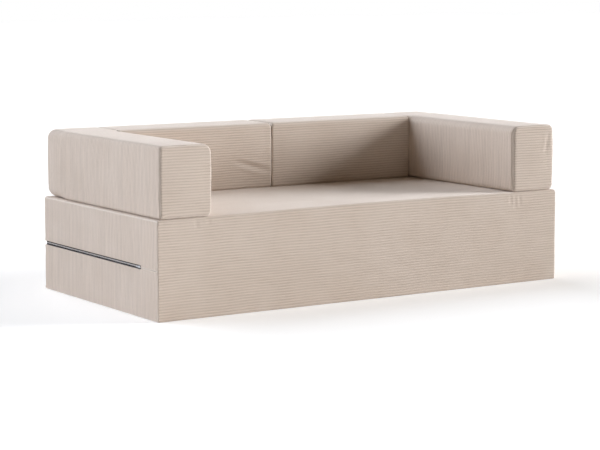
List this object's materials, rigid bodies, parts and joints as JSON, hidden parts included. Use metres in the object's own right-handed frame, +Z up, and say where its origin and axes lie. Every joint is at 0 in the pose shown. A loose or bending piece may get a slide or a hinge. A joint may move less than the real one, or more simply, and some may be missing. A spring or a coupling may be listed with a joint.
{
  "type": "foam sofa bed",
  "caption": "Two-seat foam sofa bed in wide-rib corduroy: a folding two-slab base with a closing zip, loose arm bolsters and back bolsters.",
  "frame": {"origin": "on the floor, under the middle of the folded base", "axes": "+X to the right as seen from the front, +Y from the seat's front to the back, +Z up"},
  "size_m": [2, 1, 0.6824],
  "materials": {
    "corduroy": "matte",
    "foam": "matte",
    "comfort_foam": "matte",
    "wadding": "matte",
    "base_cloth": "matte",
    "hook_and_loop": "matte",
    "zip_tape": "matte",
    "zip_coil": "satin",
    "zip_metal": "satin",
    "cover_zip_tape": "matte",
    "cover_zip_coil": "satin",
    "cover_zip_metal": "satin"
  },
  "bodies": {
    "lower_half": {"lower_foam_core": "foam", "lower_sleep_foam": "comfort_foam", "lower_front_panel": "corduroy", "lower_cover": "corduroy", "lower_base_cloth": "base_cloth", "zip_tape_lower": "zip_tape", "zip_row_lower": "zip_coil", "zip_stops_lower": "zip_metal"},
    "upper_half": {"upper_sleep_foam": "comfort_foam", "upper_foam_core": "foam", "seat_foam": "comfort_foam", "upper_front_panel": "corduroy", "upper_cover": "corduroy", "zip_tape_upper": "zip_tape", "zip_row_upper": "zip_coil", "zip_stops_upper": "zip_metal", "arm_left_seat_loops": "hook_and_loop", "arm_right_seat_loops": "hook_and_loop", "back_left_seat_loops": "hook_and_loop", "back_right_seat_loops": "hook_and_loop"},
    "zip_slider": {"zip_slider": "zip_metal"},
    "zip_pull": {"zip_pull": "zip_metal"},
    "arm_left": {"arm_left_foam_core": "foam", "arm_left_wadding": "wadding", "arm_left_cover": "corduroy", "arm_left_hook_strips": "hook_and_loop", "arm_left_zip_tape": "cover_zip_tape", "arm_left_zip_rows": "cover_zip_coil"},
    "arm_left_slider": {"arm_left_zip_slider": "cover_zip_metal"},
    "arm_right": {"arm_right_foam_core": "foam", "arm_right_wadding": "wadding", "arm_right_cover": "corduroy", "arm_right_hook_strips": "hook_and_loop", "arm_right_zip_tape": "cover_zip_tape", "arm_right_zip_rows": "cover_zip_coil"},
    "arm_right_slider": {"arm_right_zip_slider": "cover_zip_metal"},
    "back_left": {"back_left_foam_core": "foam", "back_left_wadding": "wadding", "back_left_cover": "corduroy", "back_left_hook_strips": "hook_and_loop", "back_left_zip_tape": "cover_zip_tape", "back_left_zip_rows": "cover_zip_coil"},
    "back_left_slider": {"back_left_zip_slider": "cover_zip_metal"},
    "back_right": {"back_right_foam_core": "foam", "back_right_wadding": "wadding", "back_right_cover": "corduroy", "back_right_hook_strips": "hook_and_loop", "back_right_zip_tape": "cover_zip_tape", "back_right_zip_rows": "cover_zip_coil"},
    "back_right_slider": {"back_right_zip_slider": "cover_zip_metal"}
  },
  "joints": [
    {"name": "base_fold", "type": "hinge", "parent": "lower_half", "child": "upper_half", "pos_m": [0, -0.50015, 0.19815], "axis": [1, 0, 0], "range_deg": [0, 180]},
    {"name": "zip_slide", "type": "slide", "parent": "lower_half", "child": "zip_slider", "axis": [0, 1, 0], "range_m": [0, 0.78]},
    {"name": "zip_pull_swing", "type": "hinge", "parent": "zip_slider", "child": "zip_pull", "pos_m": [-0.99575, -0.3432, 0.19815], "axis": [0, 0, 1], "range_deg": [0, 135]},
    {"name": "arm_left_lift", "type": "slide", "parent": "upper_half", "child": "arm_left", "axis": [0, 0, 1], "range_m": [0, 0.3]},
    {"name": "arm_left_zip_slide", "type": "slide", "parent": "arm_left", "child": "arm_left_slider", "axis": [0, 1, 0], "range_m": [0, 0.802]},
    {"name": "arm_right_lift", "type": "slide", "parent": "upper_half", "child": "arm_right", "axis": [0, 0, 1], "range_m": [0, 0.3]},
    {"name": "arm_right_zip_slide", "type": "slide", "parent": "arm_right", "child": "arm_right_slider", "axis": [0, 1, 0], "range_m": [0, 0.802]},
    {"name": "back_left_lift", "type": "slide", "parent": "upper_half", "child": "back_left", "axis": [0, 0, 1], "range_m": [0, 0.3]},
    {"name": "back_left_zip_slide", "type": "slide", "parent": "back_left", "child": "back_left_slider", "axis": [1, 0, 0], "range_m": [0, 0.561]},
    {"name": "back_right_lift", "type": "slide", "parent": "upper_half", "child": "back_right", "axis": [0, 0, 1], "range_m": [0, 0.3]},
    {"name": "back_right_zip_slide", "type": "slide", "parent": "back_right", "child": "back_right_slider", "axis": [1, 0, 0], "range_m": [0, 0.561]}
  ]
}
